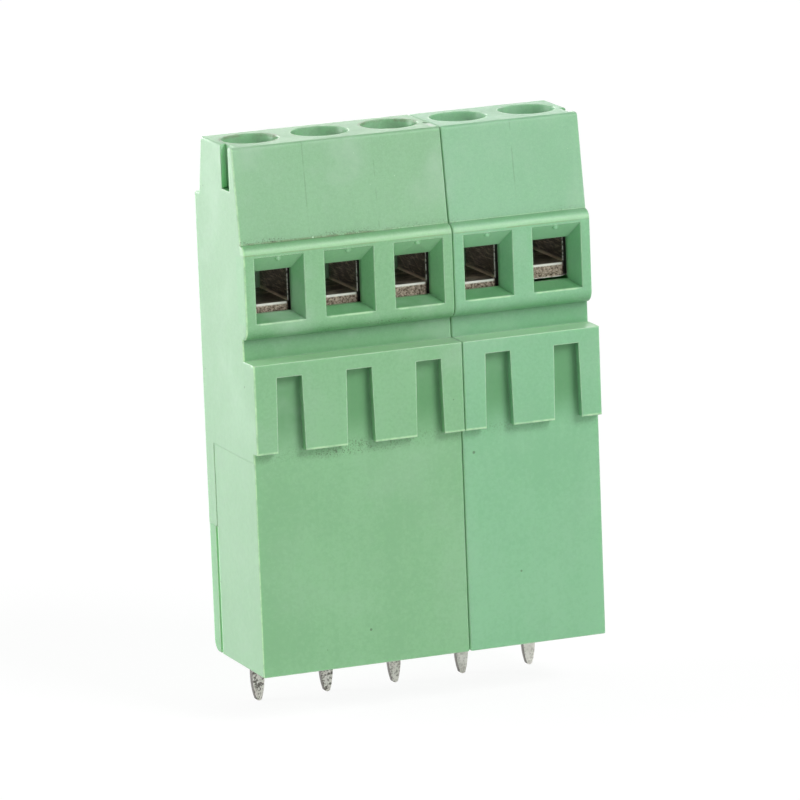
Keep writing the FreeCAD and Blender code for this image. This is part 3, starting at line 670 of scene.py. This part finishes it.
def cage_metal():
    """Stamped steel: a grainy sheared edge on the floor's lip, brushed and dark brown inside, with
    painted shade on the walls' set-back front faces and painted highlights on the lip.
    """
    lip_depth, wall_depth = -5.7 * MM, -5.9 * MM
    n = Nodes("cage_steel")
    across, _, up = n.split(n.share)
    brushed = cage_inside(n, across, up, lip_depth)
    tears = n.noise(6500, 5, 0.8)
    sheared = n.mix(n.ramp(tears, 0.38, 0.62), (0.10, 0.065, 0.045), (0.62, 0.50, 0.41))
    lip = n.times(n.below(n.y, lip_depth), n.below(n.facing_y, -0.6, 0.2))
    n.tint(sheared, lip)
    # painted shade: the walls' set-back front faces made nearly black
    n.tint((0.02, 0.02, 0.015), n.below(n.facing_y, -0.5, 0.2), n.above(n.y, wall_depth))
    painted_highlights = cage_painted_highlights(n, across, up, lip)
    # painted highlights, with less metal there so the pale colour shows
    n.tint((1.0, 0.97, 0.92), painted_highlights)
    n.shade("Base Color", n.tone)
    n.shade("Metallic", n.ramp(painted_highlights, 0.0, 1.0, 0.7, 0.1))
    n.shade("Roughness", n.ramp(tears, 0.3, 0.7, 0.28, 0.45))
    height = n.math("ADD", n.times(tears, lip), n.times(brushed, 0.25))
    n.shade("Normal", n.bump(height, 0.12 * MM, 1.0, n.soft_edges(0.06 * MM)))
    return n.material


def tinned_metal():
    """Dull tin with dark pits and a grey bloom, thicker towards the row's left end, and painted shade
    on its left and rear faces.
    """
    n = Nodes("tin")
    bloom = n.noise(1100, 4, 0.7)
    pits = n.patches(5600, 3, 0.75, 0.50, 0.58)
    to_the_left = n.ramp(n.x, 3.0 * MM, -3.0 * MM, 0.25, 0.9)
    n.tone = n.mix(n.ramp(bloom, 0.35, 0.65), (0.84, 0.80, 0.74), (1.0, 0.97, 0.92))
    n.tint((0.10, 0.085, 0.07), pits, to_the_left)
    # painted shade on the left faces
    n.tint((0.12, 0.11, 0.10), n.below(n.facing_x, -0.6, 0.2))
    # painted shade on the rear faces
    n.tint((0.34, 0.33, 0.31), n.above(n.facing_y, 0.3, 0.2), 0.6)
    n.shade("Base Color", n.tone)
    n.shade("Metallic", 0.25)
    n.shade("Roughness", n.ramp(bloom, 0.3, 0.7, 0.40, 0.55))
    height = n.math("SUBTRACT", bloom, pits)
    n.shade("Normal", n.bump(height, 0.03 * MM, 0.6, n.soft_edges(0.05 * MM)))
    return n.material


# Geometry

def break_edges(node, width):
    """Give a node's sharp edges a real bevel. Its mesh stays as it is."""
    weld = node.modifiers.new("weld", "WELD")
    weld.merge_threshold = WELD_REACH
    flat = node.modifiers.new("flat", "DECIMATE")
    flat.decimate_type = "DISSOLVE"
    flat.angle_limit = math.radians(1)
    bevel = node.modifiers.new("edges", "BEVEL")
    bevel.width = width
    bevel.segments = BEVEL_SEGMENTS
    bevel.limit_method = "ANGLE"
    bevel.angle_limit = math.radians(35)


def lathe(profile, sides):
    """Turn (radius, level) points into a closed skin. A radius may depend on the angle."""
    vertices = []
    for radius, level in profile:
        for side in range(sides):
            angle = 2 * math.pi * side / sides
            reach = radius(angle, level) if callable(radius) else radius
            vertices.append((reach * math.cos(angle), reach * math.sin(angle), level))
    faces = []
    for row in range(len(profile) - 1):
        low, high = row * sides, (row + 1) * sides
        for side in range(sides):
            after = (side + 1) % sides
            faces.append((low + side, low + after, high + after, high + side))
    faces.append(tuple(reversed(range(sides))))
    faces.append(tuple(range((len(profile) - 1) * sides, len(profile) * sides)))
    return vertices, faces


def thread_radius(angle, level):
    """The shank's radius here: a right-hand thread that runs out towards the tip."""
    turn = (level / THREAD_PITCH - angle / (2 * math.pi)) % 1
    valley = THREAD_DEPTH * min(1, 1.25 * abs(2 * turn - 1))
    bevel = max(0, TIP_BEVEL - (level - SCREW_TIP))
    return min(SHANK_RADIUS - valley, SHANK_RADIUS - bevel)


def screw_blank():
    """The screw's turned form, without its slot."""
    step = (HEAD_FOOT - SCREW_TIP) / THREAD_ROWS
    profile = [(thread_radius, SCREW_TIP + row * step) for row in range(THREAD_ROWS)]
    profile += [
        (SHANK_RADIUS - THREAD_DEPTH, HEAD_FOOT),
        (HEAD_RADIUS - HEAD_BEVEL / 2, HEAD_FOOT),
        (HEAD_RADIUS, HEAD_FOOT + HEAD_BEVEL / 2),
        (HEAD_RADIUS, HEAD_TOP - HEAD_BEVEL),
        (HEAD_RADIUS - HEAD_BEVEL * 0.3, HEAD_TOP - HEAD_BEVEL * 0.3),
        (HEAD_RADIUS - HEAD_BEVEL, HEAD_TOP),
    ]
    mesh = bpy.data.meshes.new("turned")
    vertices, faces = lathe(profile, SCREW_SIDES)
    mesh.from_pydata(vertices, [], faces)
    return bpy.data.objects.new("blank", mesh)


def slot_cutter():
    """A bar that is as wide and deep as the head's slot and longer than it."""
    half, reach = SLOT_WIDTH / 2, HEAD_RADIUS * 1.2
    outline = ((-reach, -half), (reach, -half), (reach, half), (-reach, half))
    corners = []
    for level in (HEAD_TOP - SLOT_DEPTH, HEAD_TOP + MM):
        corners += [(x, y, level) for x, y in outline]
    sides = [(3, 2, 1, 0), (4, 5, 6, 7), (0, 1, 5, 4), (1, 2, 6, 5), (2, 3, 7, 6), (3, 0, 4, 7)]
    mesh = bpy.data.meshes.new("slot")
    mesh.from_pydata(corners, [], sides)
    return bpy.data.objects.new("cutter", mesh)


def screw_mesh(material):
    """A slotted cheese-head screw with its thread cut as a real helix."""
    blank, cutter = screw_blank(), slot_cutter()
    for part in (blank, cutter):
        bpy.context.scene.collection.objects.link(part)
    cut = blank.modifiers.new("slot", "BOOLEAN")
    cut.operation = "DIFFERENCE"
    cut.solver = "EXACT"
    cut.object = cutter
    bpy.context.view_layer.update()
    depsgraph = bpy.context.evaluated_depsgraph_get()
    finished = bpy.data.meshes.new_from_object(blank.evaluated_get(depsgraph))
    for part in (blank, cutter):
        bpy.data.objects.remove(part)
    finished.materials.clear()
    finished.materials.append(material)
    return finished


def fit_screws(material):
    """A detailed screw for each pole, turned as its cage's height asks."""
    pattern = screw_mesh(material)
    for number, (pole, lift) in enumerate(zip(POLES, LIFTS), start=1):
        mesh = pattern.copy()
        mesh.transform(Matrix.Rotation(-2 * math.pi * lift / THREAD_PITCH, 4, "Z"))
        screw = bpy.data.objects.new(f"threaded_screw_{number}", mesh)
        screw.location = (pole, SCREW_AXIS, 0)
        bpy.context.scene.collection.objects.link(screw)
        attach(screw, f"screw_{number}")
        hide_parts(f"clamp_screw_{number}")


def dress(name, material, bevel):
    """Give one node its material and its small bevels."""
    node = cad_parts[name]
    node.data.materials.clear()
    node.data.materials.append(material)
    break_edges(node, bevel)


def dress_nodes():
    left = green_plastic("green_left", (0.248, 0.505, 0.268), (0.218, 0.463, 0.236), 0.45)
    right = green_plastic("green_right", (0.248, 0.532, 0.302), (0.220, 0.495, 0.271), 0.25)
    dress("left_housing", left, HOUSING_BEVEL)
    dress("right_housing", right, HOUSING_BEVEL)
    cage, tin = cage_metal(), tinned_metal()
    for number in range(1, len(POLES) + 1):
        dress(f"clamp_cage_{number}", cage, METAL_BEVEL)
        dress(f"contact_pin_{number}", tin, METAL_BEVEL)
    fit_screws(zinc_plating())


bpy.context.scene.view_settings.view_transform = "Standard"
aim_camera()
light_scene()
lay_floor()
dress_nodes()
